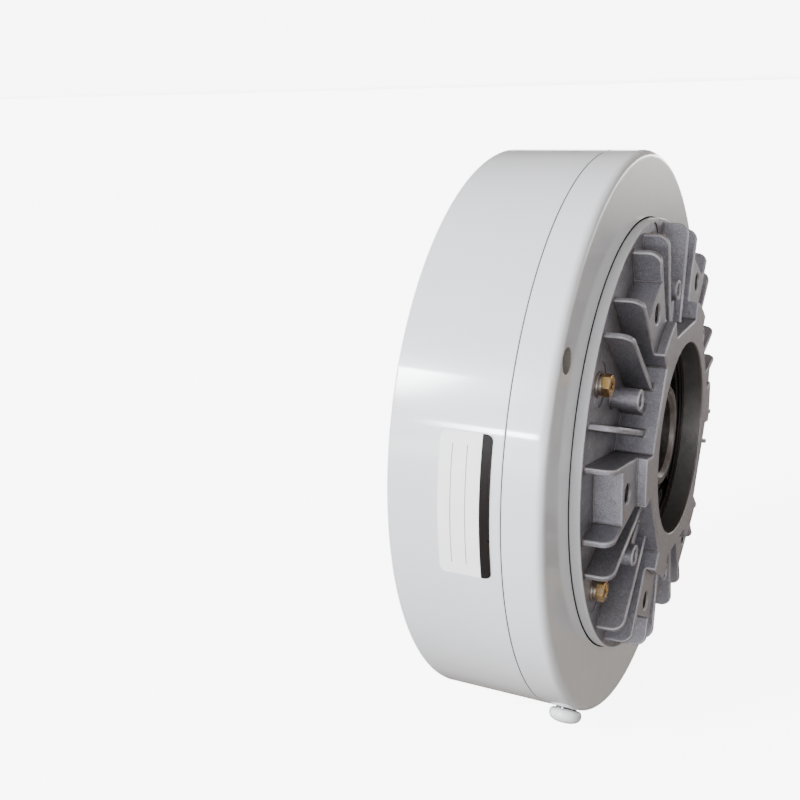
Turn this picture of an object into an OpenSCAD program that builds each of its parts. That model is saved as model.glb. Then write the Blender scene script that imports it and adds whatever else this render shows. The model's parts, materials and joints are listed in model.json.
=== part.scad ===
// Hollow-shaft magnetic powder brake with finned end covers.
// Millimetres. The shaft axis runs along Y, the front end faces -Y, Z is up.
// The origin is the centre of the shaft bore, half way along the housing.

/* [Housing] */
// bore of the stator poles
stator_bore = 132; // [128:0.5:140]
// radial thickness of the pole rings
pole_wall = 17; // [16:0.5:22]
// radial depth of the coil slot
coil_depth = 12; // [9:0.5:16]
// radial thickness of the outer shell
shell_wall = 15; // [14:0.5:20]
// length of the housing between its two end faces
housing_len = 54.6; // [53:0.2:64]
// length of the front yoke, from the front face to the seam
front_yoke_len = 14; // [13:0.5:16]
// rounding of the front outer edge
edge_radius = 3; // [1.5:0.5:4]
// rounding of the rear outer edge
rear_edge_radius = 0.8; // [0.5:0.1:3]
// depth of the seats for the covers
seat_depth = 5; // [4:0.5:6]
// radial width of the cover seats
seat_width = 19; // [18.6:0.1:20]
// axial gap between the poles
pole_gap = 9; // [6:0.5:12]

/* [Yoke screws] */
// shank diameter of the yoke screws
yoke_screw_d = 5; // [4.5:0.5:6]
// how far the screw heads lie below the front face
yoke_head_sink = 2.4; // [1:0.1:3]
// thread length in the rear yoke
yoke_thread_len = 14; // [10:1:20]

/* [Outlet] */
// angle of the outlet around the axis
outlet_angle = 240; // [235:1:245]
// diameter of the plug's head
plug_d = 12.5; // [11.5:0.5:13.5]
// height of the plug's head
plug_h = 5.2; // [4:0.2:8]
// diameter of the plug's stem
plug_stem_d = 8; // [7:0.5:9]
// wall left between the outlet and the seam
outlet_wall = 1; // [0.8:0.1:2]

/* [Rating plate] */
// length around the housing
plate_len = 49; // [30:1:60]
// width along the axis
plate_w = 18; // [12:0.5:20]
// distance from the front face
plate_back = 17.8; // [16:0.2:20]
// angle of its middle around the axis
plate_angle = 177; // [170:1:190]

/* [Covers] */
// height of the rim and the floor above the housing face
rim_h = 4; // [3:0.2:5]
// height of the arm blocks above the housing face
boss_h = 14.4; // [12:0.2:15]
// height of the hub above the housing face
hub_h = 18.3; // [17.6:0.1:20]
// height of the middle fins
mid_fin_h = 13.9; // [11:0.1:14]
// diameter of the turned register on the arms
register_d = 108; // [102:1:112]
// distance across the flats of the hub between the arms
hub_flats = 88; // [86:0.5:92]
// distance of the arms' end walls from the axis
arm_end_r = 70.5; // [70:0.1:72]
// angle from an arm's axis to its sides and its fins
arm_angle = 9.7; // [8.6:0.1:10.4]
// angle from the bolt line to the middle fins
mid_fin_angle = 11; // [9.6:0.1:12]
// thickness of the fins
fin_t = 2.1; // [1.6:0.1:2.6]
// radius where the fins end
fin_end_r = 83; // [80:0.5:83.4]
// rounding of the outer fin corners
fin_corner = 4.6; // [3:0.1:6]
// thickness of the short rib on the bolt line
rib_t = 3.4; // [2:0.2:4]
// pitch circle of the tapped mounting holes
mount_pcd = 129; // [126:0.5:131]
// minor diameter of the mounting holes (M8)
mount_hole_d = 6.8; // [5:0.1:7]
// depth of the mounting holes
mount_hole_depth = 15; // [10:1:15]
// pitch circle of the posts
post_pcd = 117; // [112:1:122]
// diameter of the posts
post_d = 7.8; // [7:0.1:9]
// diameter of the holes in the posts
post_hole_d = 5; // [3:0.1:5.4]
// depth of the holes in the posts
post_hole_depth = 8; // [4:0.5:10]

/* [Cover bolts] */
// shank diameter
bolt_d = 4; // [3:0.5:5]
// hexagon across the flats
bolt_flats = 7; // [6.5:0.5:8]
// height of the hexagon head
bolt_head_h = 2.8; // [2.2:0.2:4]
// thread length in the yoke
bolt_thread_len = 8; // [6:0.5:9]
// diameter of the flat washers
washer_d = 9; // [8:0.5:10.5]
// thickness of the flat washers
washer_t = 0.8; // [0.6:0.1:1.2]
// thickness of the spring washers
spring_t = 1.1; // [0.8:0.1:1.5]
// diameter of the spot faces
spot_d = 16; // [13:0.5:16.5]
// depth of the spot faces
spot_depth = 0.6; // [0.4:0.1:1.4]

/* [Shaft and bearings] */
// bore of the hollow shaft
shaft_bore = 30; // [24:0.5:31]
// width of the keyway
key_w = 8; // [6:0.5:9]
// depth of the keyway beyond the bore
key_depth = 3.3; // [2:0.1:3.5]
// shaft diameter at the bearings
bearing_bore = 40; // [39.6:0.1:41]
// outer diameter of the bearings
bearing_od = 68; // [67.4:0.1:69]
// width of the bearings
bearing_w = 15; // [14:0.5:16]
// ball diameter
ball_d = 7.8; // [7:0.1:8]
// diameter of the shaft between the bearings
collar_d = 48; // [46:0.5:49]
// how far the shaft ends lie below the hub faces
shaft_sink = 6.6; // [6:0.1:8.5]
// how far the bearings lie below the hub faces
bearing_sink = 11.4; // [11:0.1:13]
// diameter of the recess in the hub faces
hub_recess_d = 75; // [73:0.5:77]
// depth of the recess in the hub faces
hub_recess_depth = 8.6; // [5:0.1:8.6]
// thickness of the ring in the hub bore
hub_ring_t = 2; // [1.5:0.1:2.1]
// thickness of the ring on the shaft
shaft_ring_t = 1.75; // [1:0.05:2]

/* [Rotor] */
// radial working gap for the powder
work_gap = 1; // [0.8:0.1:2]
// radial thickness of the drum rim
drum_wall = 13; // [9:0.5:15]
// thickness of the shaft flange that carries the drum
flange_t = 10; // [8:0.5:12]
// diameter of the shaft flange
flange_d = 84; // [80:1:90]
// pitch circle of the drum screws
drum_pcd = 66; // [63:0.5:69]
// shank diameter of the drum screws
drum_screw_d = 5; // [4:0.5:5]

/* [Hidden] */
$fn = 96;
sectors = 6;
fit = 0.02;
slip = 0.1;

half_len = housing_len / 2;
seam_z = half_len - front_yoke_len;
stator_r = stator_bore / 2;
coil_in_r = stator_r + pole_wall;
coil_out_r = coil_in_r + coil_depth;
outer_r = coil_out_r + shell_wall;
seat_r = stator_r + seat_width;
seat_z = half_len - seat_depth;
seam_chamfer = 0.3;
seat_chamfer = 0.2;

screw_r = outer_r - shell_wall / 2;
screw_head_d = yoke_screw_d * 1.65;
screw_head_h = yoke_screw_d;
screw_top_z = half_len - yoke_head_sink;
screw_seat_z = screw_top_z - screw_head_h;
screw_bore_d = screw_head_d + 0.4;
screw_angles = [150, 330];

outlet_z = seam_z + outlet_wall + plug_stem_d / 2 + slip;
outlet_in = outer_r - shell_wall - 5;
lead_r = coil_out_r - 4;
lead_d = 1.6;
lead_hole_d = 5;
plug_neck = 0.8;
plug_low = outer_r + plug_neck;
plug_mid = plug_low + plug_h * 0.36;

floor_z = half_len + rim_h;
boss_z = half_len + boss_h;
hub_z = half_len + hub_h;
rim_gap = 0.35;
rim_r = seat_r - rim_gap;
register_r = register_d / 2;
bolt_r = stator_r + seat_width / 2;
spot_z = floor_z - spot_depth;
rib_z = boss_z - 2;
fin_end_x = sqrt(pow(fin_end_r, 2) - pow(fin_end_r * sin(arm_angle), 2));
bolt_hole_d = bolt_d + 0.6;

bearing_out_z = hub_z - bearing_sink;
bearing_in_z = bearing_out_z - bearing_w;
bearing_mid_z = bearing_out_z - bearing_w / 2;
bore_r = bearing_bore / 2;
race_out_r = bearing_od / 2;
pitch_r = (bore_r + race_out_r) / 2;
ball_r = ball_d / 2;
groove_r = ball_r + 0.2;
inner_land_r = pitch_r - ball_r * 0.62;
outer_land_r = pitch_r + ball_r * 0.62;
seal_t = 0.9;
seal_in = 0.5;
seal_r = outer_land_r + 1.3;
balls = 12;
cage_half_w = ball_r + 0.9;
cage_half_t = ball_r * 0.34;

collar_r = collar_d / 2;
lip_r = collar_r + 1;
lip_z = bearing_in_z - 4.4;
felt_z0 = lip_z + 1;
felt_z1 = felt_z0 + 2;
felt_r = lip_r + 4.5;
shoulder_r = race_out_r - 2.4;
recess_r = hub_recess_d / 2;
recess_z = hub_z - hub_recess_depth;
housing_hub_r = race_out_r + 7;
web_z = seat_z + 2;

shaft_end_z = hub_z - shaft_sink;
shaft_r = shaft_bore / 2;
drum_r = stator_r - work_gap;
drum_half_len = seat_z - 1;
drum_in_r = drum_r - drum_wall;
drum_web_z0 = flange_t / 2;
drum_web_z1 = lip_z - 0.8;
drum_head_d = drum_screw_d * 1.7;
drum_head_h = drum_screw_d;
drum_head_z = drum_web_z1 - 0.3;
drum_screw_r = drum_pcd / 2;
powder_play = 0.2;

function arc(cx, cy, r, a0, a1, n) = [for (i = [0 : n]) let (a = a0 + (a1 - a0) * i / n)
    [cx + r * cos(a), cy + r * sin(a)]];
function arm_w(x) = x * tan(arm_angle);

// Stands the local frame up: local z becomes the front direction, local y becomes up.
module stand() rotate([90, 0, 0]) children();

// The rear end is the mirror image of the front end.
module at_rear() mirror([0, 0, 1]) children();

module ring(r0, r1, z0, z1) {
    translate([0, 0, z0]) linear_extrude(z1 - z0) difference() {
        circle(r1);
        circle(r0);
    }
}

module rod(r, z0, z1) translate([0, 0, z0]) cylinder(r = r, h = z1 - z0);

module around(n, r, a0 = 0) {
    for (i = [0 : n - 1]) rotate([0, 0, a0 + i * 360 / n]) translate([r, 0, 0]) children();
}

// Housing

module yoke_profile(split_z, edge_r) {
    polygon(concat(
        [[stator_r, pole_gap / 2], [stator_r, seat_z], [seat_r, seat_z]],
        [[seat_r, half_len - seat_chamfer], [seat_r + seat_chamfer, half_len]],
        arc(outer_r - edge_r, half_len - edge_r, edge_r, 90, 0, 8),
        [[outer_r, split_z + seam_chamfer], [outer_r - seam_chamfer, split_z]],
        split_z > 0 ? [] : [[coil_out_r, split_z], [coil_out_r, seam_z]],
        [[coil_in_r, seam_z], [coil_in_r, pole_gap / 2]]));
}

module cover_bolt_taps() around(sectors, bolt_r, 30)
    rod(bolt_d / 2 + fit, seat_z - bolt_thread_len - 1.5, seat_z + 1);

module front_yoke() color([0.88, 0.88, 0.87]) stand() difference() {
    rotate_extrude() yoke_profile(seam_z, edge_radius);
    cover_bolt_taps();
    for (a = screw_angles) rotate([0, 0, a]) translate([screw_r, 0, 0]) {
        rod(screw_bore_d / 2, screw_seat_z, half_len + 1);
        rod(yoke_screw_d / 2 + 0.3, seam_z - 1, screw_seat_z + 1);
    }
    rotate([0, 0, outlet_angle]) {
        translate([outlet_in, 0, outlet_z]) rotate([0, 90, 0])
            cylinder(d = plug_stem_d + 2 * slip, h = outer_r - outlet_in + 5);
        translate([lead_r, 0, 0]) rod(lead_hole_d / 2, seam_z - 1, outlet_z);
    }
}

module rear_yoke() color([0.88, 0.88, 0.87]) stand() difference() {
    at_rear() rotate_extrude() yoke_profile(-seam_z, rear_edge_radius);
    at_rear() cover_bolt_taps();
    for (a = screw_angles) rotate([0, 0, a]) translate([screw_r, 0, 0])
        rod(yoke_screw_d / 2 + fit, seam_z - yoke_thread_len - 2, seam_z + 1);
}

module shield_ring() color([0.75, 0.65, 0.4]) stand()
    ring(stator_r, stator_r + pole_wall * 0.4, -pole_gap / 2, pole_gap / 2);

module coil_bobbin() color([0.15, 0.15, 0.16]) stand() difference() {
    rotate_extrude() polygon([
        [coil_in_r + slip, -seam_z + slip], [coil_out_r - slip * 3, -seam_z + slip],
        [coil_out_r - slip * 3, -seam_z + 1.6], [coil_in_r + 1.6, -seam_z + 1.6],
        [coil_in_r + 1.6, seam_z - 1.6], [coil_out_r - slip * 3, seam_z - 1.6],
        [coil_out_r - slip * 3, seam_z - slip], [coil_in_r + slip, seam_z - slip]]);
    rotate([0, 0, outlet_angle]) translate([lead_r, 0, 0])
        rod(lead_hole_d / 2, seam_z - 3, seam_z + 1);
}

module coil_winding() color([0.72, 0.4, 0.2]) stand()
    ring(coil_in_r + 1.7, coil_out_r - 1.5, -seam_z + 1.7, seam_z - 1.7);

module coil_leads() color([0.7, 0.1, 0.1]) stand() rotate([0, 0, outlet_angle])
    for (s = [-1.15, 1.15]) translate([lead_r, s, 0]) {
        rod(lead_d / 2, seam_z - 1.7, outlet_z);
        translate([-lead_d * 0.6, 0, outlet_z]) rotate([0, 90, 0])
            cylinder(d = lead_d * 1.1, h = outer_r - 5 - lead_r + lead_d * 0.6);
    }

module outlet_plug() color([0.95, 0.95, 0.95]) stand() rotate([0, 0, outlet_angle])
    translate([0, 0, outlet_z]) rotate([0, 90, 0]) rotate_extrude(convexity = 4)
        polygon(concat(
            [[0, outer_r - 5], [plug_stem_d / 2, outer_r - 5], [plug_stem_d / 2, plug_low]],
            [for (a = [-90 : 15 : -15]) [plug_d / 2 - 1.2 * (1 - cos(a)), plug_mid + plug_h * 0.36 * sin(a)]],
            [for (a = [0 : 9 : 81]) [plug_d / 2 * pow(cos(a), 0.8),
                plug_mid + plug_h * 0.64 * pow(sin(a), 0.9)]],
            [[0, plug_low + plug_h]]));

module rating_plate() color([0.8, 0.8, 0.8]) stand()
    rotate([0, 0, plate_angle - plate_len / outer_r * 90 / PI])
        rotate_extrude(angle = plate_len / outer_r * 180 / PI)
            translate([outer_r + 0.05, half_len - plate_back - plate_w]) square([0.25, plate_w]);

module yoke_screws() color([0.3, 0.3, 0.32]) stand()
    for (a = screw_angles) rotate([0, 0, a]) translate([screw_r, 0, 0]) difference() {
        union() {
            rod(screw_head_d / 2, screw_seat_z, screw_top_z);
            rod(yoke_screw_d / 2, seam_z - yoke_thread_len, screw_seat_z + 1);
        }
        translate([0, 0, screw_top_z - screw_head_h * 0.55])
            cylinder(d = yoke_screw_d * 0.96, h = screw_head_h, $fn = 6);
    }

// Covers

module arm_plan() {
    x0 = recess_r * 0.9;
    w1 = arm_w(arm_end_r) - fin_t;
    w2 = arm_w(fin_end_x);
    polygon([[x0, -arm_w(x0)], [fin_end_x, -w2], [fin_end_x, fin_t - w2], [arm_end_r, -w1],
        [arm_end_r, w1], [fin_end_x, w2 - fin_t], [fin_end_x, w2], [x0, arm_w(x0)]]);
}

// Side view of an arm. The facing cut takes off what stands above the arm's face.
module arm_side() polygon(concat(
    [[recess_r * 0.8, floor_z - 3], [fin_end_x + 0.5, floor_z - 3], [fin_end_x + 0.5, floor_z - 0.8]],
    arc(fin_end_x - fin_corner, boss_z - fin_corner * sin(75), fin_corner, 0, 85, 7),
    [[fin_end_x - fin_corner, hub_z + 3], [recess_r * 0.8, hub_z + 3]]));

module arms() around(sectors, 0) intersection() {
    translate([0, 0, floor_z - 1.6]) linear_extrude(hub_z - floor_z + 2.6) arm_plan();
    translate([0, 30, 0]) rotate([90, 0, 0]) linear_extrude(60) arm_side();
}

module mid_fin() rotate([90, 0, 0]) linear_extrude(fin_t) polygon(concat(
    [[hub_flats / 2 - 2, floor_z - 1], [fin_end_r, floor_z - 1]],
    arc(fin_end_r - fin_corner, half_len + mid_fin_h - fin_corner, fin_corner, 0, 90, 7),
    [[hub_flats / 2 - 2, half_len + mid_fin_h]]));

module mid_fins() around(sectors, 0, 30) for (s = [-1, 1]) rotate([0, 0, s * mid_fin_angle])
    translate([0, fin_t / 2, 0]) mid_fin();

module posts() around(sectors, 0, 30) {
    translate([post_pcd / 2, 0, 0]) rod(post_d / 2, floor_z - 1.3, boss_z + 1.5);
    translate([hub_flats / 2 - 2, -rib_t / 2, floor_z - 0.7])
        cube([post_pcd / 2 - hub_flats / 2 + 2, rib_t, rib_z - floor_z + 0.7]);
}

module cover_body() rotate_extrude() polygon([
    [lip_r, lip_z], [housing_hub_r, lip_z], [housing_hub_r, web_z], [stator_r - 0.5, web_z],
    [stator_r - 0.5, seat_z], [rim_r, seat_z], [rim_r, floor_z - 0.4], [rim_r - 0.4, floor_z],
    [lip_r, floor_z]]);

module cover() difference() {
    union() {
        cover_body();
        translate([0, 0, floor_z - 2])
            cylinder(r = hub_flats / sqrt(3), h = hub_z - floor_z + 4, $fn = 6);
        arms();
        mid_fins();
        posts();
    }
    ring(register_r, rim_r + 5, boss_z, hub_z + 1);
    rod(rim_r + 6, hub_z, hub_z + 5);
    rod(recess_r, recess_z, hub_z + 1);
    rod(race_out_r, bearing_in_z, recess_z + 1);
    rod(race_out_r + 1.5, bearing_out_z, bearing_out_z + hub_ring_t + 0.15);
    rod(shoulder_r, bearing_in_z - 0.7, bearing_in_z + 1);
    rod(felt_r, felt_z0, felt_z1);
    around(sectors, mount_pcd / 2) {
        rod(mount_hole_d / 2, boss_z - mount_hole_depth, boss_z + 1);
        translate([0, 0, boss_z - 1])
            cylinder(r1 = mount_hole_d / 2 - 0.3, r2 = mount_hole_d / 2 + 1.4, h = 1.7);
    }
    around(sectors, post_pcd / 2, 30) rod(post_hole_d / 2, boss_z - post_hole_depth, boss_z + 2);
    around(sectors, bolt_r, 30) {
        rod(spot_d / 2, spot_z, floor_z + 1);
        rod(bolt_hole_d / 2, seat_z - 1, floor_z + 1);
    }
}

module front_cover() color([0.62, 0.64, 0.67]) stand() cover();
module rear_cover() color([0.62, 0.64, 0.67]) stand() at_rear() cover();

module cover_bolts() around(sectors, bolt_r, 30) {
    seat = spot_z + washer_t + spring_t;
    difference() {
        union() {
            rod(bolt_d / 2, seat_z - bolt_thread_len, seat + 1);
            intersection() {
                translate([0, 0, seat]) rotate([0, 0, 30])
                    cylinder(d = bolt_flats / cos(30), h = bolt_head_h, $fn = 6);
                translate([0, 0, seat]) cylinder(r1 = bolt_flats / 2 + bolt_head_h * 1.6,
                    r2 = bolt_flats / 2 - 0.1, h = bolt_head_h);
            }
        }
        for (a = [45, 135]) rotate([0, 0, a])
            translate([-bolt_d * 0.5, -0.6, seat + bolt_head_h * 0.55]) cube([bolt_d, 1.2, bolt_head_h]);
    }
}

module spring_washers() around(sectors, bolt_r, 30) difference() {
    ring(bolt_d / 2 + 0.2, washer_d / 2 - 0.7, spot_z + washer_t, spot_z + washer_t + spring_t);
    translate([0, 0, spot_z + washer_t - 1]) rotate([0, 0, 200])
        translate([0, -0.4, 0]) cube([washer_d, 0.8, spring_t + 2]);
}

module flat_washers() around(sectors, bolt_r, 30)
    ring(bolt_d / 2 + 0.2, washer_d / 2, spot_z, spot_z + washer_t);

module front_cover_bolts() color([0.8, 0.65, 0.3]) stand() cover_bolts();
module rear_cover_bolts() color([0.8, 0.65, 0.3]) stand() at_rear() cover_bolts();
module front_spring_washers() color([0.75, 0.7, 0.5]) stand() spring_washers();
module rear_spring_washers() color([0.75, 0.7, 0.5]) stand() at_rear() spring_washers();
module front_flat_washers() color([0.8, 0.7, 0.45]) stand() flat_washers();
module rear_flat_washers() color([0.8, 0.7, 0.45]) stand() at_rear() flat_washers();

// Bearings

module race_groove() rotate_extrude() translate([pitch_r, bearing_mid_z]) circle(groove_r);

module bearing_outer() difference() {
    ring(outer_land_r, race_out_r - fit, bearing_in_z, bearing_out_z);
    race_groove();
    for (z = [bearing_in_z - 1, bearing_out_z - seal_in - seal_t])
        rod(seal_r, z, z + 1 + seal_in + seal_t);
}

module bearing_inner() difference() {
    ring(bore_r + fit, inner_land_r, bearing_in_z, bearing_out_z);
    race_groove();
}

module bearing_seals() for (z = [bearing_in_z + seal_in + fit, bearing_out_z - seal_in - seal_t + fit])
    ring(inner_land_r + 0.35, seal_r - fit, z, z + seal_t - fit);

module bearing_balls() around(balls, pitch_r) translate([0, 0, bearing_mid_z]) sphere(ball_r);

module bearing_cage() difference() {
    ring(pitch_r - cage_half_t, pitch_r + cage_half_t,
        bearing_mid_z - cage_half_w, bearing_mid_z + cage_half_w);
    around(balls, pitch_r - 5) translate([0, 0, bearing_mid_z]) rotate([0, 90, 0])
        cylinder(r = ball_r + 0.12, h = 10);
}

module hub_ring_solid() translate([0, 0, bearing_out_z + fit]) linear_extrude(hub_ring_t) {
    difference() {
        circle(race_out_r + 1.4);
        circle(race_out_r - 3.2);
        rotate([0, 0, 300]) translate([0, -5]) square([race_out_r + 5, 10]);
    }
    for (s = [-1, 1]) rotate([0, 0, 300 + s * 13]) difference() {
        translate([race_out_r - 3.2, 0]) circle(3.2);
        translate([race_out_r - 3.6, 0]) circle(1.25);
    }
}

module shaft_ring_solid() translate([0, 0, bearing_out_z + fit]) linear_extrude(shaft_ring_t)
    difference() {
        circle(bore_r + 2.3);
        circle(bore_r - 1.15);
        rotate([0, 0, 250]) translate([0, -4]) square([bore_r + 5, 8]);
    }

module felt_ring() ring(collar_r + 0.3, felt_r - fit, felt_z0 + fit, felt_z1 - fit);

module front_bearing_outer_ring() color([0.75, 0.76, 0.78]) stand() bearing_outer();
module rear_bearing_outer_ring() color([0.75, 0.76, 0.78]) stand() at_rear() bearing_outer();
module front_bearing_inner_ring() color([0.75, 0.76, 0.78]) stand() bearing_inner();
module rear_bearing_inner_ring() color([0.75, 0.76, 0.78]) stand() at_rear() bearing_inner();
module front_bearing_seals() color([0.06, 0.06, 0.06]) stand() bearing_seals();
module rear_bearing_seals() color([0.06, 0.06, 0.06]) stand() at_rear() bearing_seals();
module front_bearing_balls() color([0.8, 0.8, 0.82]) stand() bearing_balls();
module rear_bearing_balls() color([0.8, 0.8, 0.82]) stand() at_rear() bearing_balls();
module front_bearing_cage() color([0.7, 0.6, 0.35]) stand() bearing_cage();
module rear_bearing_cage() color([0.7, 0.6, 0.35]) stand() at_rear() bearing_cage();
module front_hub_ring() color([0.12, 0.12, 0.13]) stand() hub_ring_solid();
module rear_hub_ring() color([0.12, 0.12, 0.13]) stand() at_rear() hub_ring_solid();
module front_shaft_ring() color([0.12, 0.12, 0.13]) stand() shaft_ring_solid();
module rear_shaft_ring() color([0.12, 0.12, 0.13]) stand() at_rear() shaft_ring_solid();
module front_powder_seal() color([0.3, 0.3, 0.28]) stand() felt_ring();
module rear_powder_seal() color([0.3, 0.3, 0.28]) stand() at_rear() felt_ring();

// Rotor

groove_z = bearing_out_z + shaft_ring_t + 0.1;
shaft_half = [[shaft_r, shaft_end_z - 1.5], [shaft_r + 1.5, shaft_end_z],
    [bore_r - 1, shaft_end_z], [bore_r, shaft_end_z - 1], [bore_r, groove_z],
    [bore_r - 1.25, groove_z], [bore_r - 1.25, bearing_out_z], [bore_r, bearing_out_z],
    [bore_r, bearing_in_z], [collar_r, bearing_in_z], [collar_r, flange_t / 2],
    [flange_d / 2, flange_t / 2]];
shaft_rear = [for (i = [len(shaft_half) - 1 : -1 : 0]) [shaft_half[i].x, -shaft_half[i].y]];

module hollow_shaft() color([0.7, 0.71, 0.73]) stand() difference() {
    rotate_extrude() polygon(concat(shaft_half, shaft_rear));
    translate([-key_w / 2, 0, -hub_z]) cube([key_w, shaft_r + key_depth, 2 * hub_z]);
    around(sectors, drum_screw_r) rod(drum_screw_d / 2 + fit, -flange_t, flange_t);
}

module rotor_drum() color([0.5, 0.51, 0.53]) stand() difference() {
    rotate_extrude() polygon([
        [collar_r + fit, drum_web_z0], [drum_in_r, drum_web_z0], [drum_in_r, -drum_half_len],
        [drum_r, -drum_half_len], [drum_r, drum_half_len], [drum_in_r, drum_half_len],
        [drum_in_r, drum_web_z1], [collar_r + fit, drum_web_z1]]);
    around(sectors, drum_screw_r) {
        rod(drum_screw_d / 2 + 0.3, drum_web_z0 - 1, drum_web_z1);
        rod(drum_head_d / 2 + 0.5, drum_head_z - drum_head_h, drum_web_z1 + 1);
    }
}

module rotor_screws() color([0.25, 0.25, 0.27]) stand() around(sectors, drum_screw_r) difference() {
    union() {
        rod(drum_head_d / 2, drum_head_z - drum_head_h, drum_head_z);
        rod(drum_screw_d / 2, -flange_t / 2 + 1, drum_head_z - drum_head_h + 1);
    }
    translate([0, 0, drum_head_z - drum_head_h * 0.5])
        cylinder(d = drum_screw_d * 0.9, h = drum_head_h, $fn = 6);
}

module magnetic_powder() color([0.35, 0.33, 0.32]) stand()
    ring(drum_r + powder_play, stator_r - powder_play, -drum_half_len + 2, drum_half_len - 2);

front_yoke();
rear_yoke();
shield_ring();
coil_bobbin();
coil_winding();
coil_leads();
outlet_plug();
rating_plate();
yoke_screws();
front_cover();
rear_cover();
front_cover_bolts();
front_spring_washers();
front_flat_washers();
rear_cover_bolts();
rear_spring_washers();
rear_flat_washers();
front_bearing_outer_ring();
front_bearing_seals();
front_hub_ring();
front_powder_seal();
rear_bearing_outer_ring();
rear_bearing_seals();
rear_hub_ring();
rear_powder_seal();
magnetic_powder();
hollow_shaft();
rotor_drum();
rotor_screws();
front_bearing_inner_ring();
front_shaft_ring();
rear_bearing_inner_ring();
rear_shaft_ring();
front_bearing_balls();
front_bearing_cage();
rear_bearing_balls();
rear_bearing_cage();
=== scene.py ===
import json
import math
import bpy
import bmesh
from mathutils import Matrix, Vector


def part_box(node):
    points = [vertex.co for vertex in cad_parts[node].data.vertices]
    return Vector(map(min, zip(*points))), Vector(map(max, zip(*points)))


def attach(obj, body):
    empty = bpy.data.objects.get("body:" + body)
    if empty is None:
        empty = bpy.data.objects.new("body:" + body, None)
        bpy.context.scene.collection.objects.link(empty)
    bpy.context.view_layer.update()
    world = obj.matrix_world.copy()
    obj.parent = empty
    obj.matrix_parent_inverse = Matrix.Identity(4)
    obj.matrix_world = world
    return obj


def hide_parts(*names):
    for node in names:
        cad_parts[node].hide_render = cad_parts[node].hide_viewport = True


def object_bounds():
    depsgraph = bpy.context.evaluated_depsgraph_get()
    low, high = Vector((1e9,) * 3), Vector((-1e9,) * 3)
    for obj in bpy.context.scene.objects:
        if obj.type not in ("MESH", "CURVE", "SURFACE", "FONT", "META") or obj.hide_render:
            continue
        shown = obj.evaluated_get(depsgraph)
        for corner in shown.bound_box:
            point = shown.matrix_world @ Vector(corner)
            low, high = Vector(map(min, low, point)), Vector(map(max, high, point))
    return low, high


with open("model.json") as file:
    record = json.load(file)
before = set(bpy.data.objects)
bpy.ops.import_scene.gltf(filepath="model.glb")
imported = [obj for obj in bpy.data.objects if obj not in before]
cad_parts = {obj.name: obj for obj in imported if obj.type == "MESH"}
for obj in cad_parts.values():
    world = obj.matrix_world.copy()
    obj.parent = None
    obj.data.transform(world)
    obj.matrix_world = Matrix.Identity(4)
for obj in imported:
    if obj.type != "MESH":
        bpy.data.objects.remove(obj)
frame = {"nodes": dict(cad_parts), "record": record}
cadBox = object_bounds()
mm = 0.001
print("solids loaded:", len(frame["nodes"]))

# node helpers

def newFinish(name):
    mat = bpy.data.materials.new(name)
    mat.use_nodes = True
    return mat, mat.node_tree, mat.node_tree.nodes["Principled BSDF"]

def plug(tree, socket, value):
    if isinstance(value, bpy.types.NodeSocket):
        tree.links.new(value, socket)
    else:
        socket.default_value = value

def calc(tree, job, a, b=0.0):
    node = tree.nodes.new("ShaderNodeMath")
    node.operation = job
    plug(tree, node.inputs[0], a)
    plug(tree, node.inputs[1], b)
    return node.outputs[0]

def times(tree, a, b):
    return calc(tree, "MULTIPLY", a, b)

def slant(tree, a, b):  # distance over two square sides
    return calc(tree, "SQRT", calc(tree, "ADD", times(tree, a, a), times(tree, b, b)))

def remap(tree, value, low, high, outLow=0.0, outHigh=1.0):  # clamped linear step
    node = tree.nodes.new("ShaderNodeMapRange")
    plug(tree, node.inputs["Value"], value)
    node.inputs["From Min"].default_value = low
    node.inputs["From Max"].default_value = high
    node.inputs["To Min"].default_value = outLow
    node.inputs["To Max"].default_value = outHigh
    return node.outputs[0]

def above(tree, value, edge, soft):  # one from the edge upward
    return remap(tree, value, edge - soft, edge)

def below(tree, value, edge, soft):  # one up to the edge
    return remap(tree, value, edge - soft, edge, 1.0, 0.0)

def between(tree, value, low, high, soft):  # one inside the band, zero outside
    up = remap(tree, value, low - soft, low + soft)
    down = remap(tree, value, high - soft, high + soft, 1.0, 0.0)
    return times(tree, up, down)

def spread(tree, noise, low=0.0, high=1.0):  # the middle of a noise stretched over a range
    return remap(tree, noise, 0.3, 0.7, low, high)

def asColour(value):
    return value if isinstance(value, bpy.types.NodeSocket) else (*value, 1.0)

def shaded(colour, share):
    return tuple(share * c for c in colour)

def tint(tree, amount, a, b):
    node = tree.nodes.new("ShaderNodeMix")
    node.data_type = "RGBA"
    plug(tree, node.inputs[0], amount)
    plug(tree, node.inputs[6], asColour(a))
    plug(tree, node.inputs[7], asColour(b))
    return node.outputs[2]

def level(tree, amount, a, b):
    node = tree.nodes.new("ShaderNodeMix")
    plug(tree, node.inputs[0], amount)
    plug(tree, node.inputs[2], a)
    plug(tree, node.inputs[3], b)
    return node.outputs[0]

def grain(tree, at, scale, detail=3.0, rough=0.55):
    node = tree.nodes.new("ShaderNodeTexNoise")
    tree.links.new(at, node.inputs["Vector"])
    node.inputs["Scale"].default_value = scale
    node.inputs["Detail"].default_value = detail
    node.inputs["Roughness"].default_value = rough
    return node.outputs[0]

def relief(tree, height, depth, under=None):
    node = tree.nodes.new("ShaderNodeBump")
    node.inputs["Strength"].default_value = 1.0
    node.inputs["Distance"].default_value = depth
    plug(tree, node.inputs["Height"], height)
    if under is not None:
        tree.links.new(under, node.inputs["Normal"])
    return node.outputs[0]

def faceMark(tree, name):
    node = tree.nodes.new("ShaderNodeAttribute")
    node.attribute_name = name
    return node.outputs["Fac"]

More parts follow.
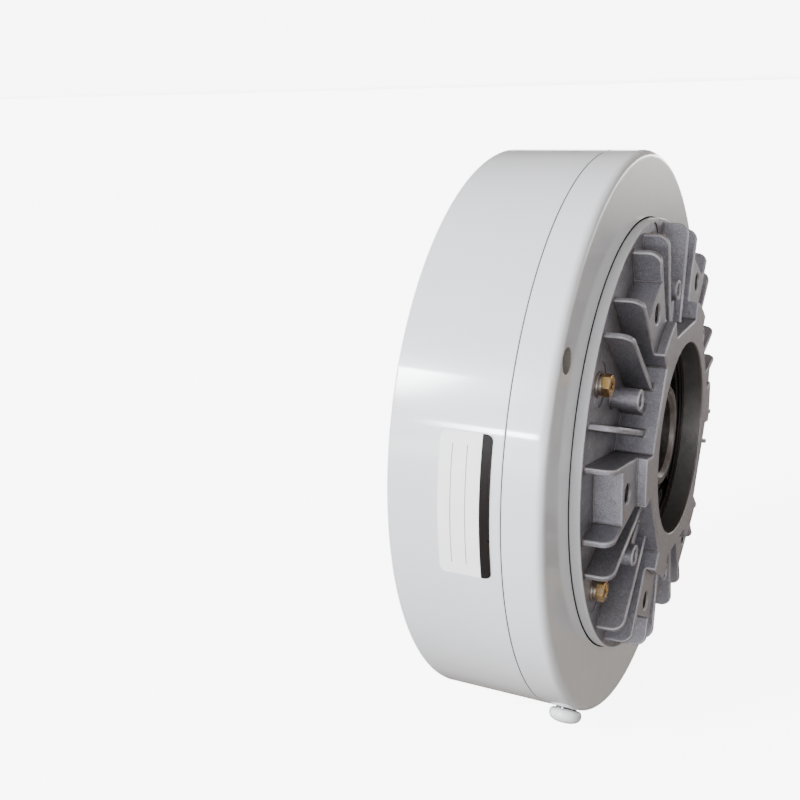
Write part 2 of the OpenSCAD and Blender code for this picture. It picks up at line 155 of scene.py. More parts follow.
def places(tree):  # object coordinates, radius from the shaft axis and reach along it
    at = tree.nodes.new("ShaderNodeTexCoord").outputs["Object"]
    split = tree.nodes.new("ShaderNodeSeparateXYZ")
    tree.links.new(at, split.inputs[0])
    x, y, z = split.outputs
    return {"at": at, "x": x, "y": y, "z": z, "r": slant(tree, x, z),
            "reach": calc(tree, "ABSOLUTE", y)}

def holeDistance(tree, spot, circle, step, first=0.0):  # from the nearest of a ring of holes
    turn = calc(tree, "SUBTRACT", calc(tree, "ARCTAN2", spot["z"], spot["x"]), first)
    nearest = times(tree, calc(tree, "ROUND", calc(tree, "DIVIDE", turn, step)), step)
    turn = calc(tree, "SUBTRACT", turn, nearest)
    across = times(tree, spot["r"], calc(tree, "SINE", turn))
    along = calc(tree, "SUBTRACT", times(tree, spot["r"], calc(tree, "COSINE", turn)), circle)
    return slant(tree, across, along)

# gloss paint of the yokes and the cover's rim

glossPaint = {
    "colour": (0.655, 0.665, 0.690), "shade": (0.630, 0.640, 0.664), "cloudScale": 14.0,
    "rough": 0.22, "smearScale": 60.0, "coat": 0.8, "coatRough": 0.04,
    "peel": 0.000016, "peelScale": 420.0,
    "speck": (0.30, 0.28, 0.26), "speckScale": 30.0, "speckSize": (0.006, 0.010),
    "speckAmount": 0.8,
    "seamAt": -13.3 * mm, "seamHalf": 0.20 * mm, "seamSoft": 0.03 * mm,
    "seamShade": (0.10, 0.10, 0.105),
    # the seat colour is painted shade in the gap around the cover; the bore colour is painted shade in
    # the screw bores
    "seatWall": 85.15 * mm, "seatSoft": 0.1 * mm, "gapPaintedShade": (0.035, 0.034, 0.033),
    "screwCircle": 102.5 * mm, "screwBore": 4.40 * mm, "screwStep": 180.0, "firstScrew": 150.0,
    "boreSoft": 0.05 * mm, "boreEnd": 0.2 * mm, "screwBorePaintedShade": (0.33, 0.309, 0.283),
}

def paintInto(tree, spot, look):
    cloud = grain(tree, spot["at"], look["cloudScale"], 2.0)
    colour = tint(tree, remap(tree, cloud, 0.35, 0.65), look["colour"], look["shade"])
    cells = tree.nodes.new("ShaderNodeTexVoronoi")  # a few specks of dust in the paint
    tree.links.new(spot["at"], cells.inputs["Vector"])
    cells.inputs["Scale"].default_value = look["speckScale"]
    specks = remap(tree, cells.outputs["Distance"], *look["speckSize"], look["speckAmount"], 0.0)
    colour = tint(tree, specks, colour, look["speck"])
    smear = grain(tree, spot["at"], look["smearScale"], 4.0)
    rough = spread(tree, smear, look["rough"] - 0.04, look["rough"] + 0.05)
    peel = grain(tree, spot["at"], look["peelScale"], 2.0)
    return colour, rough, peel

def makePaint(name, look):
    mat, tree, shader = newFinish(name)
    spot = places(tree)
    colour, rough, peel = paintInto(tree, spot, look)
    seamFront, seamBack = look["seamAt"] - look["seamHalf"], look["seamAt"] + look["seamHalf"]
    seam = between(tree, spot["y"], seamFront, seamBack, look["seamSoft"])
    colour = tint(tree, seam, colour, look["seamShade"])
    # painted shade on the seat wall in the gap around the cover
    seat = below(tree, spot["r"], look["seatWall"], look["seatSoft"])
    colour = tint(tree, seat, colour, look["gapPaintedShade"])
    # painted shade inside the screw bores of the front yoke
    bore = holeDistance(tree, spot, look["screwCircle"], math.radians(look["screwStep"]),
                        math.radians(look["firstScrew"]))
    bore = below(tree, bore, look["screwBore"], look["boreSoft"])
    bore = times(tree, bore, below(tree, spot["y"], look["seamAt"], look["boreEnd"]))  # front yoke only
    colour = tint(tree, bore, colour, look["screwBorePaintedShade"])
    plug(tree, shader.inputs["Base Color"], colour)
    plug(tree, shader.inputs["Roughness"], rough)
    shader.inputs["Coat Weight"].default_value = look["coat"]
    shader.inputs["Coat Roughness"].default_value = look["coatRough"]
    plug(tree, shader.inputs["Normal"], relief(tree, peel, look["peel"]))
    return mat

# cast alloy of the covers

castAlloy = {
    "colour": (0.352, 0.347, 0.390), "cloudShade": 0.84, "dark": (0.16, 0.150, 0.16),
    # pale edge colour: wear with a painted highlight; brownish colour: painted shade
    "paleWearAndSheen": (0.66, 0.65, 0.68), "paintedShade": (0.125, 0.108, 0.102),
    # the bore colour is painted shade on the bore wall
    "faced": (0.47, 0.46, 0.50), "bore": (0.245, 0.233, 0.230), "boreCloud": 0.72,
    # the deep colour is painted shade in the holes and on the recess floor
    "paintedHoleShade": (0.028, 0.023, 0.021),
    "rough": 0.44, "facedRough": 0.38, "metal": 0.85,
    "fineScale": 1900.0, "skinScale": 260.0, "cloudScale": 45.0,
    "grain": 0.00018, "skin": 0.00030, "facedGrain": 0.35,
    "ripple": 14000.0, "rippleDepth": 0.000006,
    "darkSkin": (0.60, 0.78, 0.0, 0.5), "paleGrain": (0.53, 0.70, 0.0, 0.40),
    "darkGrain": (0.32, 0.46, 0.40, 0.0), "wearAndHighlightAmount": (0.35, 0.65, 0.12, 0.85),
    "paintedShadeAmount": (0.4, 0.85), "finFloorShade": 0.40, "finFloorShadeHeight": 5.0 * mm, "facedAmount": (0.4, 0.8),
    "hubFace": 45.5 * mm, "armFace": 41.55 * mm, "armBand": 0.4 * mm,
    "spotFace": 30.62 * mm, "spotBand": 0.16 * mm, "register": 53.4 * mm,
    "rimWall": 84.4 * mm, "boreWall": 38.0 * mm,
    "recessFloor": 37.7 * mm, "houseFace": 27.7 * mm, "floorFace": 31.3 * mm,
    "tapCircle": 64.5 * mm, "tapStep": 60.0, "tapRadius": 3.55 * mm,
    "tapDim": 3.4 * mm, "tapPaintedShade": (0.98, 0.80),
}

def castSkin(tree, spot, look, fine, skin, cloud):  # raw casting; worn edges with a painted highlight, painted shade in the fillets and near the floor
    base = tint(tree, spread(tree, cloud), look["colour"], shaded(look["colour"], look["cloudShade"]))
    base = tint(tree, remap(tree, skin, *look["darkSkin"]), base, look["dark"])
    base = tint(tree, remap(tree, fine, *look["paleGrain"]), base, look["paleWearAndSheen"])
    base = tint(tree, remap(tree, fine, *look["darkGrain"]), base, look["dark"])
    # edges made paler: partly wear, partly a painted highlight
    wearAndHighlight = times(tree, faceMark(tree, "wearAndHighlight"), remap(tree, cloud, *look["wearAndHighlightAmount"]))
    base = tint(tree, wearAndHighlight, base, look["paleWearAndSheen"])
    # painted shade in the fillets
    paintedShade = times(tree, faceMark(tree, "paintedShade"), spread(tree, cloud, *look["paintedShadeAmount"]))
    base = tint(tree, paintedShade, base, look["paintedShade"])
    finFloorShadeTop = look["floorFace"] + look["finFloorShadeHeight"]  # painted shade, brownish, darker towards the floor between the fins
    finFloorShade = remap(tree, spot["reach"], look["floorFace"], finFloorShadeTop, look["finFloorShade"], 0.0)
    return tint(tree, times(tree, finFloorShade, spread(tree, cloud, 0.6, 1.0)), base, look["paintedShade"])

def turnedFaces(tree, spot, look):  # hub face, arm faces and the spot faces under the bolts
    reach = spot["reach"]
    hub = above(tree, reach, look["hubFace"], 0.1 * mm)
    arm = between(tree, reach, look["armFace"], look["armFace"] + look["armBand"], 0.05 * mm)
    outward = remap(tree, spot["r"], look["register"], look["register"] + 0.3 * mm)
    seat = between(tree, reach, look["spotFace"], look["spotFace"] + look["spotBand"], 0.03 * mm)
    return calc(tree, "MAXIMUM", calc(tree, "MAXIMUM", hub, times(tree, arm, outward)), seat)

def makeCasting(name, look, paint):
    mat, tree, shader = newFinish(name)
    spot = places(tree)
    fine = grain(tree, spot["at"], look["fineScale"], 3.0, 0.65)
    skin = grain(tree, spot["at"], look["skinScale"], 4.0, 0.6)
    cloud = grain(tree, spot["at"], look["cloudScale"], 3.0)
    base = castSkin(tree, spot, look, fine, skin, cloud)
    faced = turnedFaces(tree, spot, look)
    bright = times(tree, faced, spread(tree, cloud, *look["facedAmount"]))
    base = tint(tree, bright, base, look["faced"])
    # painted shade on the bore wall
    inside = below(tree, spot["r"], look["boreWall"], 0.3 * mm)
    dull = shaded(look["bore"], look["boreCloud"])
    wall = tint(tree, remap(tree, cloud, 0.4, 0.65), look["bore"], dull)
    base = tint(tree, inside, base, wall)
    # painted shade on the recess floor
    sunk = below(tree, spot["reach"], look["recessFloor"] + 0.1 * mm, 0.1 * mm)
    base = tint(tree, times(tree, inside, sunk), base, look["paintedHoleShade"])
    faced = calc(tree, "MAXIMUM", faced, inside)
    tap = holeDistance(tree, spot, look["tapCircle"], math.radians(look["tapStep"]))
    tap = below(tree, tap, look["tapRadius"], 0.1 * mm)
    tapEnd = look["armFace"] - look["tapDim"]  # painted shade in the holes, darker with depth
    shade = remap(tree, spot["reach"], tapEnd, look["armFace"], *look["tapPaintedShade"])
    base = tint(tree, times(tree, tap, shade), base, look["paintedHoleShade"])
    painted = above(tree, spot["r"], look["rimWall"], 0.1 * mm)
    paintColour, paintRough, _ = paintInto(tree, spot, paint)
    # painted shade on the rim wall below the housing face, in the gap
    gapShadeMask = below(tree, spot["reach"], look["houseFace"], 0.2 * mm)
    paintColour = tint(tree, gapShadeMask, paintColour, paint["gapPaintedShade"])
    plug(tree, shader.inputs["Base Color"], tint(tree, painted, base, paintColour))
    rough = spread(tree, skin, look["rough"] - 0.06, look["rough"] + 0.10)
    rough = level(tree, faced, rough, look["facedRough"])
    plug(tree, shader.inputs["Roughness"], level(tree, painted, rough, paintRough))
    plug(tree, shader.inputs["Metallic"], level(tree, painted, look["metal"], 0.0))
    raw = remap(tree, faced, 0.0, 1.0, 1.0, look["facedGrain"])
    raw = times(tree, raw, calc(tree, "SUBTRACT", 1.0, painted))
    ripple = calc(tree, "SINE", times(tree, spot["r"], look["ripple"]))
    bumps = relief(tree, times(tree, fine, raw), look["grain"])
    bumps = relief(tree, times(tree, skin, raw), look["skin"], bumps)
    bumps = relief(tree, times(tree, ripple, faced), look["rippleDepth"], bumps)
    plug(tree, shader.inputs["Normal"], bumps)
    return mat

# yellow zinc of the cover bolts

yellowZinc = {
    "gold": (0.60, 0.40, 0.16), "red": (0.62, 0.27, 0.12), "green": (0.56, 0.45, 0.34),
    "redAmount": (0.52, 0.68, 0.0, 0.75), "greenAmount": (0.34, 0.46, 0.7, 0.0),
    "rough": 0.30, "wideScale": 210.0, "closeScale": 900.0, "pits": 0.00002,
}

def makeZinc(name, look):  # passivated zinc that shifts from gold to red and green
    mat, tree, shader = newFinish(name)
    spot = places(tree)
    wide = grain(tree, spot["at"], look["wideScale"], 2.0)
    close = grain(tree, spot["at"], look["closeScale"], 4.0)
    colour = tint(tree, remap(tree, wide, *look["redAmount"]), look["gold"], look["red"])
    colour = tint(tree, remap(tree, wide, *look["greenAmount"]), colour, look["green"])
    plug(tree, shader.inputs["Base Color"], colour)
    rough = spread(tree, close, look["rough"] - 0.06, look["rough"] + 0.10)
    plug(tree, shader.inputs["Roughness"], rough)
    shader.inputs["Metallic"].default_value = 1.0
    plug(tree, shader.inputs["Normal"], relief(tree, close, look["pits"]))
    return mat

# other metals: what they share, then each with its own values

anyMetal = {"cloudScale": 180.0, "smearScale": 700.0, "pits": 0.00001,
            "lines": 0.000004, "lineCount": 9000.0}
metalLooks = {
    "pale_zinc": ("paleZinc", {
        "colour": (0.50, 0.455, 0.41), "other": (0.40, 0.345, 0.285), "rough": 0.30, "lines": 0.0}),
    "black_steel": ("blackOxide", {
        "colour": (0.045, 0.045, 0.05), "other": (0.09, 0.09, 0.095), "rough": 0.38, "lines": 0.0}),
    "spring_steel": ("phosphated", {
        "colour": (0.03, 0.03, 0.032), "other": (0.06, 0.058, 0.055), "rough": 0.45, "lines": 0.0}),
    "bearing_steel": ("groundSteel", {
        "colour": (0.22, 0.215, 0.22), "other": (0.15, 0.145, 0.15), "rough": 0.30}),
    "turned_steel": ("turnedSteel", {
        "colour": (0.23, 0.212, 0.210), "other": (0.16, 0.145, 0.142), "rough": 0.40}),
    "cage_brass": ("cageBrass", {
        "colour": (0.60, 0.45, 0.20), "other": (0.50, 0.36, 0.15), "rough": 0.32}),
    "shield_brass": ("shieldBrass", {
        "colour": (0.62, 0.48, 0.24), "other": (0.54, 0.40, 0.18), "rough": 0.30}),
    "copper": ("enamelCopper", {
        "colour": (0.52, 0.20, 0.09), "other": (0.42, 0.15, 0.06), "rough": 0.30, "lines": 0.00003}),
    "iron_powder": ("ironPowder", {
        "colour": (0.10, 0.10, 0.10), "other": (0.16, 0.15, 0.15), "rough": 0.65, "lines": 0.0,
        "pits": 0.00008}),
}

def makeMetal(name, look):
    mat, tree, shader = newFinish(name)
    spot = places(tree)
    cloud = grain(tree, spot["at"], look["cloudScale"], 4.0)
    colour = tint(tree, remap(tree, cloud, 0.32, 0.68), look["colour"], look["other"])
    plug(tree, shader.inputs["Base Color"], colour)
    smear = grain(tree, spot["at"], look["smearScale"], 3.0)
    rough = spread(tree, smear, look["rough"] - 0.06, look["rough"] + 0.08)
    plug(tree, shader.inputs["Roughness"], rough)
    shader.inputs["Metallic"].default_value = 1.0
    turned = times(tree, calc(tree, "ADD", spot["r"], spot["y"]), look["lineCount"])
    bumps = relief(tree, calc(tree, "SINE", turned), look["lines"])
    plug(tree, shader.inputs["Normal"], relief(tree, smear, look["pits"], bumps))
    return mat

# plastics, rubber and felt

anyPlain = {"cloudScale": 120.0, "coat": 0.0, "toothScale": 1800.0, "tooth": 0.00001}
plainLooks = {
    "seal_rubber": ("sealRubber", {
        "colour": (0.012, 0.012, 0.013), "other": (0.02, 0.02, 0.02), "rough": 0.45}),
    "felt": ("feltGrey", {
        "colour": (0.10, 0.095, 0.085), "other": (0.15, 0.14, 0.13), "rough": 0.9,
        "toothScale": 900.0, "tooth": 0.00015}),
    "plug_plastic": ("plugWhite", {
        "colour": (0.68, 0.69, 0.70), "other": (0.64, 0.65, 0.66), "rough": 0.10, "coat": 1.0,
        "toothScale": 500.0, "tooth": 0.000004,
        "neckTop": 110.75 * mm, "neckSoft": 0.05 * mm, "neckShade": (0.02, 0.02, 0.02)}),
    "bobbin_plastic": ("bobbinBlack", {
        "colour": (0.02, 0.02, 0.022), "other": (0.03, 0.03, 0.032), "rough": 0.5}),
    "lead_sleeve": ("leadRed", {
        "colour": (0.28, 0.02, 0.015), "other": (0.22, 0.015, 0.012), "rough": 0.45}),
}

def makePlain(name, look):
    mat, tree, shader = newFinish(name)
    spot = places(tree)
    cloud = grain(tree, spot["at"], look["cloudScale"], 3.0)
    colour = tint(tree, spread(tree, cloud), look["colour"], look["other"])
    if "neckTop" in look:  # the neck below the head lies in its shade
        neck = below(tree, spot["r"], look["neckTop"], look["neckSoft"])
        colour = tint(tree, neck, colour, look["neckShade"])
    plug(tree, shader.inputs["Base Color"], colour)
    rough = spread(tree, cloud, look["rough"] - 0.03, look["rough"] + 0.05)
    plug(tree, shader.inputs["Roughness"], rough)
    shader.inputs["Coat Weight"].default_value = look["coat"]
    tooth = grain(tree, spot["at"], look["toothScale"], 2.0)
    plug(tree, shader.inputs["Normal"], relief(tree, tooth, look["tooth"]))
    return mat

# label foil, blank apart from a dark band and two thin rules

plateFoil = {
    "foil": (0.93, 0.92, 0.94), "cloudShade": 0.93, "cloudScale": 90.0, "rough": (0.26, 0.36),
    "specular": 0.12, "tooth": 0.000008, "toothScale": 700.0,
    "frontEdge": -9.5 * mm, "band": (0.010, 0.008, 0.008), "bandWidth": 3.5 * mm, "bandSoft": 0.08 * mm,
    "rule": (0.20, 0.20, 0.21), "rulesAt": (8.2 * mm, 13.4 * mm), "ruleWidth": 0.3 * mm,
    "ruleSoft": 0.05 * mm, "ruleEnds": (-14.5 * mm, 26.0 * mm), "endSoft": 0.1 * mm,
}

def makeFoil(name, look):
    mat, tree, shader = newFinish(name)
    spot = places(tree)
    cloud = grain(tree, spot["at"], look["cloudScale"], 2.0)
    foil = tint(tree, spread(tree, cloud), look["foil"], shaded(look["foil"], look["cloudShade"]))
    first, second = (between(tree, spot["y"], look["frontEdge"] + at,
                             look["frontEdge"] + at + look["ruleWidth"], look["ruleSoft"])
                     for at in look["rulesAt"])
    rules = times(tree, calc(tree, "MAXIMUM", first, second),
                  between(tree, spot["z"], *look["ruleEnds"], look["endSoft"]))
    foil = tint(tree, rules, foil, look["rule"])
    bandEnd = look["frontEdge"] + look["bandWidth"]
    band = remap(tree, spot["y"], bandEnd - look["bandSoft"], bandEnd + look["bandSoft"], 1.0, 0.0)
    plug(tree, shader.inputs["Base Color"], tint(tree, band, foil, look["band"]))
    plug(tree, shader.inputs["Roughness"], spread(tree, cloud, *look["rough"]))
    shader.inputs["Specular IOR Level"].default_value = look["specular"]
    tooth = grain(tree, spot["at"], look["toothScale"], 2.0)
    plug(tree, shader.inputs["Normal"], relief(tree, tooth, look["tooth"]))
    return mat

finishes = {
    "gloss_paint": makePaint("whiteGloss", glossPaint),
    "cast_aluminium": makeCasting("castAlloy", castAlloy, glossPaint),
    "yellow_zinc": makeZinc("yellowZinc", yellowZinc),
    "plate_foil": makeFoil("plateFoil", plateFoil),
}
for slotName, (name, look) in metalLooks.items():
    finishes[slotName] = makeMetal(name, {**anyMetal, **look})
for slotName, (name, look) in plainLooks.items():
    finishes[slotName] = makePlain(name, {**anyPlain, **look})
slotOf = {part["node"]: part["material_slot"] for part in frame["record"]["subparts"]}
bodyOf = {node: body for body, members in frame["record"]["behaviour"]["bodies"].items()
          for node in members}
print("finishes:", len(finishes))

# making pieces from the solids

rounding = {"weld": 0.002 * mm, "flat": 0.6, "sharp": 28.0, "hard": 38.0,
            "thin": 0.14 * mm, "roomShare": 2.3, "leastRoom": 0.45 * mm, "mostRoom": 1.0, "steps": 2}

def weldedCopy(nodeName):  # loose triangles joined, flat faces merged
    bm = bmesh.new()
    bm.from_mesh(frame["nodes"][nodeName].data)
    bmesh.ops.remove_doubles(bm, verts=bm.verts, dist=rounding["weld"])
    bmesh.ops.dissolve_limit(bm, angle_limit=math.radians(rounding["flat"]),
                             verts=bm.verts, edges=bm.edges)
    return bm

def roundOff(bm, edges, size, steps):
    return bmesh.ops.bevel(bm, geom=edges, offset=size, offset_type="OFFSET", affect="EDGES",
                           segments=steps, profile=0.5, material=-1, clamp_overlap=False)

def shadedMesh(bm, meshName):  # smooth faces, hard edges kept
    hard = math.radians(rounding["hard"])
    for face in bm.faces:
        face.smooth = True
    for edge in bm.edges:
        edge.smooth = not (len(edge.link_faces) == 2 and edge.calc_face_angle(0.0) > hard)
    mesh = bpy.data.meshes.new(meshName)
    bm.to_mesh(mesh)
    bm.free()
    for layer in ("custom_normal", "UVMap"):
        if layer in mesh.attributes:
            mesh.attributes.remove(mesh.attributes[layer])
    return mesh

def addPiece(mesh, pieceName, nodeName, extra=False):  # an extra piece replaces nothing
    piece = bpy.data.objects.new(pieceName, mesh)
    bpy.context.scene.collection.objects.link(piece)
    slotName = slotOf[nodeName]
    mesh.materials.clear()
    mesh.materials.append(finishes[slotName])
    even = piece.modifiers.new("evenShade", "WEIGHTED_NORMAL")
    even.keep_sharp = True
    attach(piece, bodyOf[nodeName])
    if not extra:
        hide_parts(nodeName)
    return piece

# rounded copies of the solids that show

softShapes = {
    "front_yoke": {"edge": 0.12 * mm}, "rear_yoke": {"edge": 0.12 * mm},
    "front_cover": {"edge": 0.6 * mm, "fillet": 0.65 * mm, "steps": 3},
    "rear_cover": {"edge": 0.6 * mm, "fillet": 0.65 * mm, "steps": 3},
    "front_cover_bolts": {"edge": 0.18 * mm}, "rear_cover_bolts": {"edge": 0.18 * mm},
    "front_spring_washers": {"edge": 0.15 * mm}, "rear_spring_washers": {"edge": 0.15 * mm},
    "front_flat_washers": {"edge": 0.12 * mm}, "rear_flat_washers": {"edge": 0.12 * mm},
    "yoke_screws": {"edge": 0.3 * mm}, "outlet_plug": {},
    "hollow_shaft": {"edge": 0.15 * mm},
    "front_bearing_inner_ring": {"edge": 0.4 * mm}, "rear_bearing_inner_ring": {"edge": 0.4 * mm},
    "front_bearing_outer_ring": {"edge": 0.3 * mm}, "rear_bearing_outer_ring": {"edge": 0.3 * mm},
    "front_bearing_seals": {"edge": 0.15 * mm}, "rear_bearing_seals": {"edge": 0.15 * mm},
    "front_hub_ring": {"edge": 0.2 * mm}, "rear_hub_ring": {"edge": 0.2 * mm},
    "front_shaft_ring": {"edge": 0.2 * mm}, "rear_shaft_ring": {"edge": 0.2 * mm},
}

def edgeRoom(edge):  # width of the narrower face beside an edge
    start = edge.verts[0].co
    line = (edge.verts[1].co - start).normalized()
    reach = lambda v: ((v.co - start) - line * (v.co - start).dot(line)).length
    return min(max(reach(v) for v in face.verts) for face in edge.link_faces)

def softCopy(nodeName, pieceName, shape):  # hollows first, then outer edges; narrow faces get less
    bm = weldedCopy(nodeName)
    # faces made by the rounding: fillets get painted shade, edges wear with a painted highlight
    marks = {"fillet": bm.faces.layers.float.new("paintedShade"), "edge": bm.faces.layers.float.new("wearAndHighlight")}
    sharp = math.radians(rounding["sharp"])
    for key, sign in (("fillet", -1.0), ("edge", 1.0)):
        width = shape.get(key, 0.0)
        roomy = rounding["roomShare"] * width
        for low, high, size in ((roomy, rounding["mostRoom"], width),
                                (rounding["leastRoom"], roomy, min(rounding["thin"], width))):
            picked = [e for e in bm.edges if width and len(e.link_faces) == 2
                      and sign * e.calc_face_angle_signed(0.0) > sharp and low < edgeRoom(e) <= high]
            if picked:
                made = roundOff(bm, picked, size, shape.get("steps", rounding["steps"]))
                for face in made["faces"]:
                    face[marks[key]] = 1.0
    return addPiece(shadedMesh(bm, pieceName), pieceName, nodeName)

for nodeName, shape in softShapes.items():
    piece = softCopy(nodeName, nodeName + "_soft", shape)
    print("rounded", nodeName, len(piece.data.polygons))

# threads in the mounting holes

mountThread = {"circle": 64.5 * mm, "crest": 3.10 * mm, "wall": 3.385 * mm, "pitch": 1.25 * mm,
               "width": 1.15 * mm, "mouth": 41.0 * mm, "turns": 10, "around": 32, "holes": 6}

def spunThread(look, side):  # one ridge wound down a hole, then copied to the others
    bm = bmesh.new()
    middle = Vector((look["circle"], 0.0, 0.0))
    profile = ((look["wall"], 0.0), (look["crest"], look["width"] / 2), (look["wall"], look["width"]))
    ridge = bm.faces.new([
        bm.verts.new(middle + Vector((r, side * (look["mouth"] - y), 0.0))) for r, y in profile])
    bmesh.ops.spin(bm, geom=[ridge, *ridge.edges, *ridge.verts], cent=middle, axis=(0, 1, 0),
                   dvec=(0, -side * look["pitch"] / look["around"], 0),
                   angle=2 * math.pi * look["turns"], steps=look["turns"] * look["around"])
    copies = look["holes"] - 1
    bmesh.ops.spin(bm, geom=bm.verts[:] + bm.edges[:] + bm.faces[:], cent=(0, 0, 0), axis=(0, 1, 0),
                   angle=2 * math.pi * copies / look["holes"], steps=copies, use_duplicate=True)
    bmesh.ops.recalc_face_normals(bm, faces=bm.faces)
    return bm

for side, nodeName in ((-1, "front_cover"), (1, "rear_cover")):
    threadName = nodeName + "_threads"
    mesh = shadedMesh(spunThread(mountThread, side), threadName)
    piece = addPiece(mesh, threadName, nodeName, extra=True)
    print("threads", nodeName, len(piece.data.polygons))

# rating plate with round corners

ratingPlate = {"corner": 2.4 * mm, "steps": 6, "thickest": 0.4 * mm, "near": 0.05 * mm, "zone": 2 * mm}

def makePlate(look):
    bm = weldedCopy("rating_plate")
    low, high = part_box("rating_plate")

    def atCorner(edge):  # a short edge through the plate at one of its four corners
        ys, zs = [v.co.y for v in edge.verts], [v.co.z for v in edge.verts]
        onEnd = all(min(abs(y - low.y), abs(y - high.y)) < look["near"] for y in ys)
        onSide = max(zs) < low.z + look["zone"] or min(zs) > high.z - look["zone"]
        return edge.calc_length() < look["thickest"] and onEnd and onSide

    corners = [e for e in bm.edges if atCorner(e)]
    print("plate corners", len(corners))
    roundOff(bm, corners, look["corner"], look["steps"])
    return addPiece(shadedMesh(bm, "plateFoil"), "rating_plate_soft", "rating_plate")

makePlate(ratingPlate)

# the solids that stay as they are take the same finishes
for nodeName, solid in frame["nodes"].items():
    if not solid.hide_render:
        solid.data.materials.clear()
        solid.data.materials.append(finishes[slotOf[nodeName]])
print("plate and inner parts finished")

# floor

lightTable = {"colour": (0.93, 0.93, 0.93), "cloudShade": 0.985, "cloudScale": 3.0, "rough": 0.8,
              "glow": 6.8, "half": 60.0, "squares": 4, "drop": 0.2 * mm}

def makeFloor(look):  # white light table, faint shadows only
    mat, tree, shader = newFinish("paleFloor")
    cloud = grain(tree, places(tree)["at"], look["cloudScale"], 2.0)
    colour = tint(tree, cloud, look["colour"], shaded(look["colour"], look["cloudShade"]))
    plug(tree, shader.inputs["Base Color"], colour)
    shader.inputs["Roughness"].default_value = look["rough"]
    shader.inputs["Emission Color"].default_value = (1.0, 1.0, 1.0, 1.0)
    shader.inputs["Emission Strength"].default_value = look["glow"]
    bm = bmesh.new()
    bmesh.ops.create_grid(bm, x_segments=look["squares"], y_segments=look["squares"], size=look["half"])
    bmesh.ops.translate(bm, verts=bm.verts, vec=(0.0, 0.0, cadBox[0][2] - look["drop"]))
    mesh = bpy.data.meshes.new("floor")
    bm.to_mesh(mesh)
    bm.free()
    mesh.materials.append(mat)
    floor = bpy.data.objects.new("floor", mesh)
    floor.visible_diffuse, floor.visible_glossy = False, False
    bpy.context.scene.collection.objects.link(floor)

makeFloor(lightTable)

# sky: bright to the left, dim and warm in front

studioSky = {
    "dim": (0.33, 0.288, 0.248), "bright": (1.10, 1.12, 1.15), "brightSide": (-0.75, 0.66, 0.0),
    "sideFade": (-0.35, 0.6), "fromBelow": (-0.6, 0.0, 0.6, 0.0),
    "horizon": (7.8, 7.8, 7.8), "bandFoot": (-0.02, 0.0), "bandTop": (0.08, 0.11, 1.0, 0.0),
    "underFoot": (-0.14, -0.06, 0.0, 0.21), "underTop": (-0.01, 0.0, 1.0, 0.0),
    "front": (0.0, -1.0, 0.0), "frontFade": (0.1, 0.7, 1.0, 0.48),
    "paneWay": (-0.855, 0.518, 0.0), "paneAcross": (0.518, 0.855, 0.0), "paneFade": (0.0, 0.05),
}
skyPanes = (  # bright windows: where each starts and ends, upward and across
    {"rise": ((0.30, 0.48), (0.490, 0.505)), "across": ((-0.087, -0.027), (0.09, 0.15)),
     "glow": (150.0, 154.0, 161.0)},
    {"rise": ((0.188, 0.196), (0.216, 0.226)), "across": ((-0.222, -0.205), (-0.17, -0.09)),
     "glow": (165.0, 170.0, 177.0)},
)

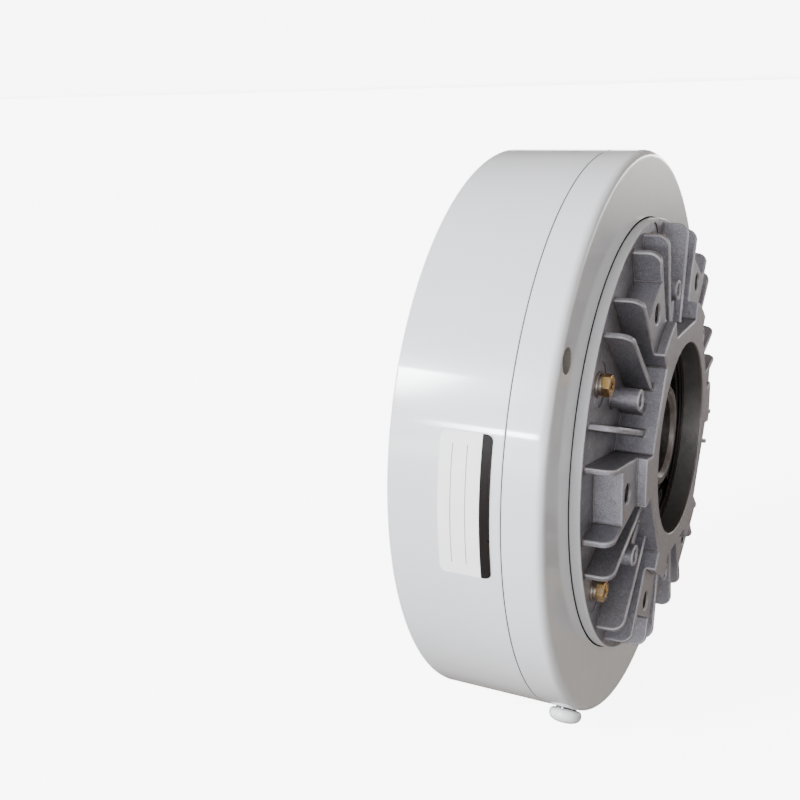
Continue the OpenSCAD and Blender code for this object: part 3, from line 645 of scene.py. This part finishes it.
def makeSky(look, panes):
    world = bpy.data.worlds.new("studioSky")
    bpy.context.scene.world = world
    world.use_nodes = True
    tree = world.node_tree
    skyWay = tree.nodes.new("ShaderNodeTexCoord").outputs["Generated"]

    def along(way):  # how far a sky direction points along a given way
        node = tree.nodes.new("ShaderNodeVectorMath")
        node.operation = "DOT_PRODUCT"
        tree.links.new(skyWay, node.inputs[0])
        node.inputs[1].default_value = way
        return node.outputs["Value"]

    rise, across = along((0.0, 0.0, 1.0)), along(look["paneAcross"])
    side = remap(tree, along(look["brightSide"]), *look["sideFade"])
    colour = tint(tree, side, look["dim"], look["bright"])
    colour = tint(tree, remap(tree, rise, *look["fromBelow"]), colour, look["dim"])
    band = times(tree, remap(tree, rise, *look["bandFoot"]), remap(tree, rise, *look["bandTop"]))
    under = times(tree, remap(tree, rise, *look["underFoot"]), remap(tree, rise, *look["underTop"]))
    band = calc(tree, "MAXIMUM", band, under)
    band = times(tree, band, remap(tree, along(look["front"]), *look["frontFade"]))
    colour = tint(tree, band, colour, look["horizon"])  # the far floor and the sky meet in one tone
    facing = remap(tree, along(look["paneWay"]), *look["paneFade"])
    for pane in panes:
        shown = facing
        for value, (start, end) in ((rise, pane["rise"]), (across, pane["across"])):
            shown = times(tree, shown, remap(tree, value, *start))
            shown = times(tree, shown, remap(tree, value, *end, 1.0, 0.0))
        colour = tint(tree, shown, colour, pane["glow"])
    tree.links.new(colour, tree.nodes["Background"].inputs["Color"])

makeSky(studioSky, skyPanes)

# wide sun that gives soft shadows and no highlight

softKey = {"from": (-0.82, 0.36, 0.45), "angle": 40.0, "power": 3.65}

def makeKey(look):
    data = bpy.data.lights.new("softKey", "SUN")
    data.energy = look["power"]
    data.angle = math.radians(look["angle"])
    light = bpy.data.objects.new("softKey", data)
    light.location = look["from"]
    light.rotation_euler = (-Vector(look["from"])).to_track_quat("-Z", "Y").to_euler()
    light.visible_glossy = False
    bpy.context.scene.collection.objects.link(light)

makeKey(softKey)

# camera at the photograph's place

photoView = {"at": (-0.393411, -0.127248, 0.135401), "right": (0.44712, -0.89410, -0.02600),
             "up": (0.26762, 0.10599, 0.95768), "lens": 47.099, "sensor": 36.0,
             "shift": (-0.01303, -0.00268), "nearest": 0.01}

def makeCamera(look):
    data = bpy.data.cameras.new("photoView")
    data.sensor_width = look["sensor"]
    data.lens = look["lens"]
    data.shift_x, data.shift_y = look["shift"]
    data.clip_start = look["nearest"]
    camera = bpy.data.objects.new("photoView", data)
    right, up = Vector(look["right"]).normalized(), Vector(look["up"]).normalized()
    turn = Matrix((right, up, right.cross(up))).transposed().to_4x4()
    camera.matrix_world = Matrix.Translation(look["at"]) @ turn
    bpy.context.scene.collection.objects.link(camera)
    bpy.context.scene.camera = camera

makeCamera(photoView)
print("studio ready")
